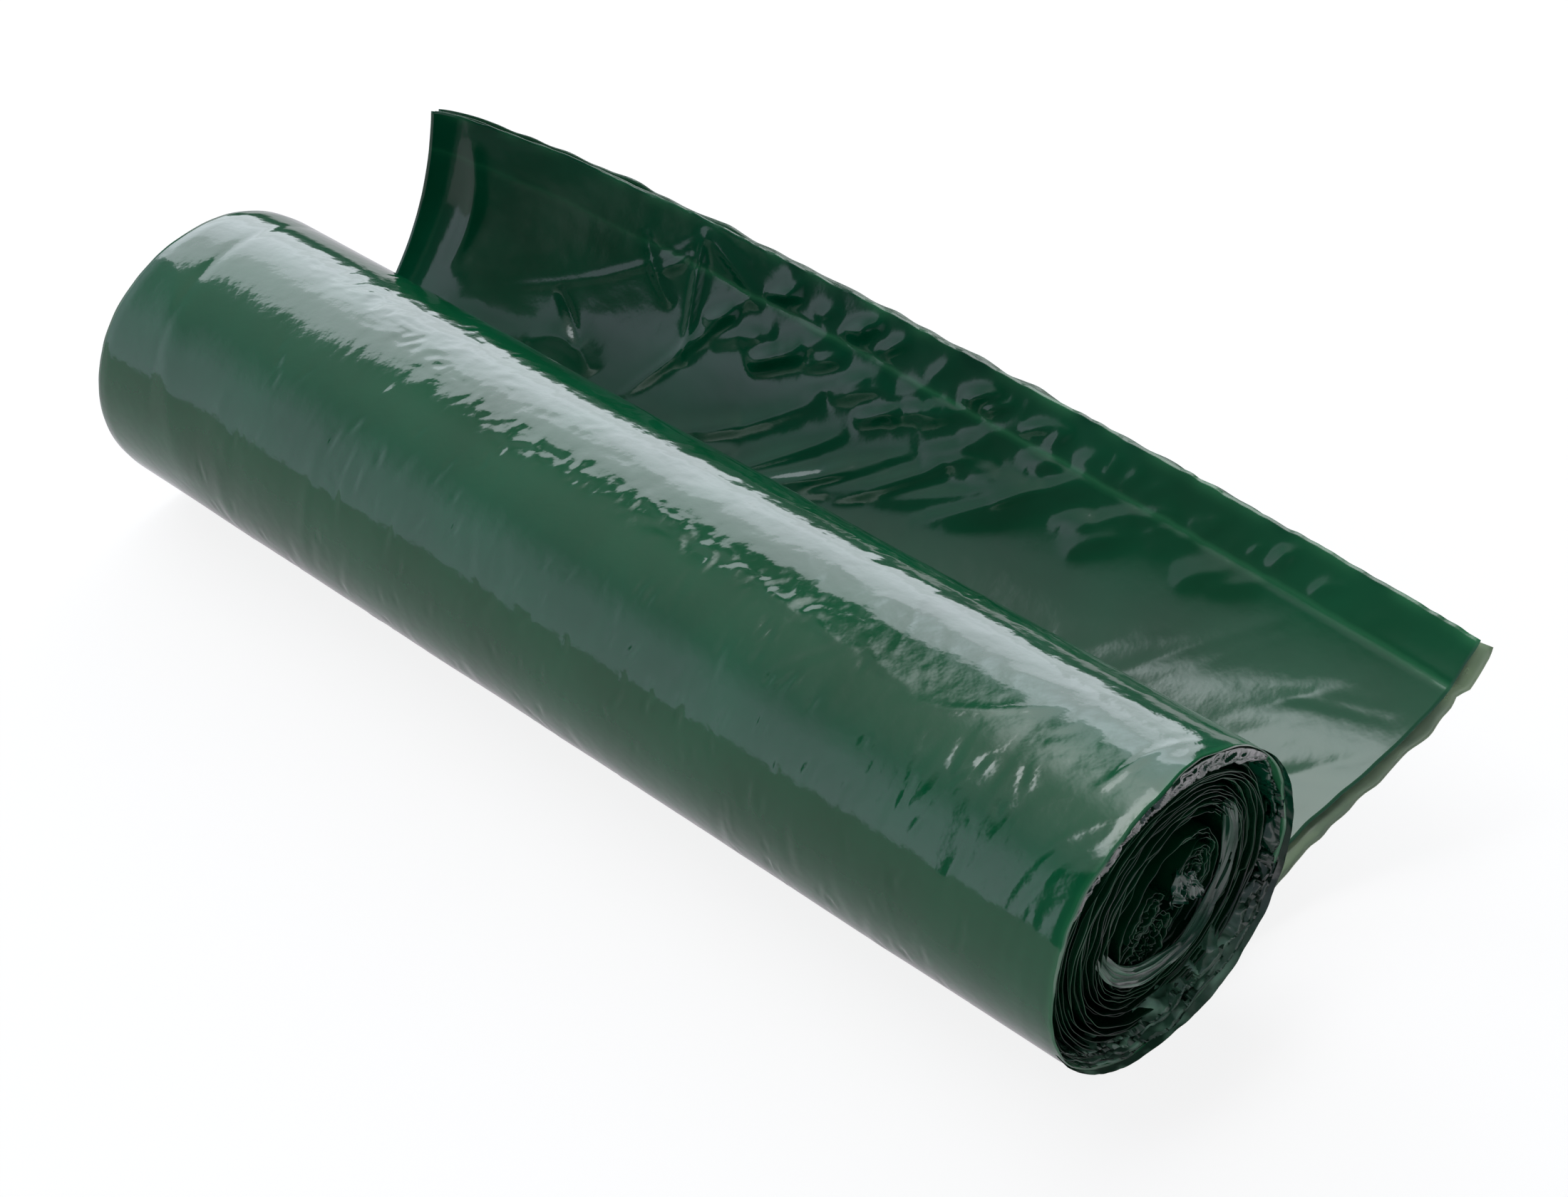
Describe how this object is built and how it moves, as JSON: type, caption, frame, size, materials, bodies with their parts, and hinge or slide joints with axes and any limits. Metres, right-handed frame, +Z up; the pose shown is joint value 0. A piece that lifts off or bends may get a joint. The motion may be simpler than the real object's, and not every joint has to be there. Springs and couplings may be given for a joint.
{
  "type": "bin bag roll",
  "caption": "Coreless roll of folded bin bag film lying on its side, its loose end curling up behind it.",
  "frame": {"origin": "middle of the flat spot that the roll lies on, under the roll's axis at half its length", "axes": "+X along the roll from its far end to its near end, +Y towards the free end, +Z up"},
  "size_m": [0.25, 0.117, 0.0629],
  "materials": {
    "film": "glossy thin film, slightly see-through, wrinkled"
  },
  "bodies": {
    "root": {"bag_roll": "film"}
  },
  "joints": []
}
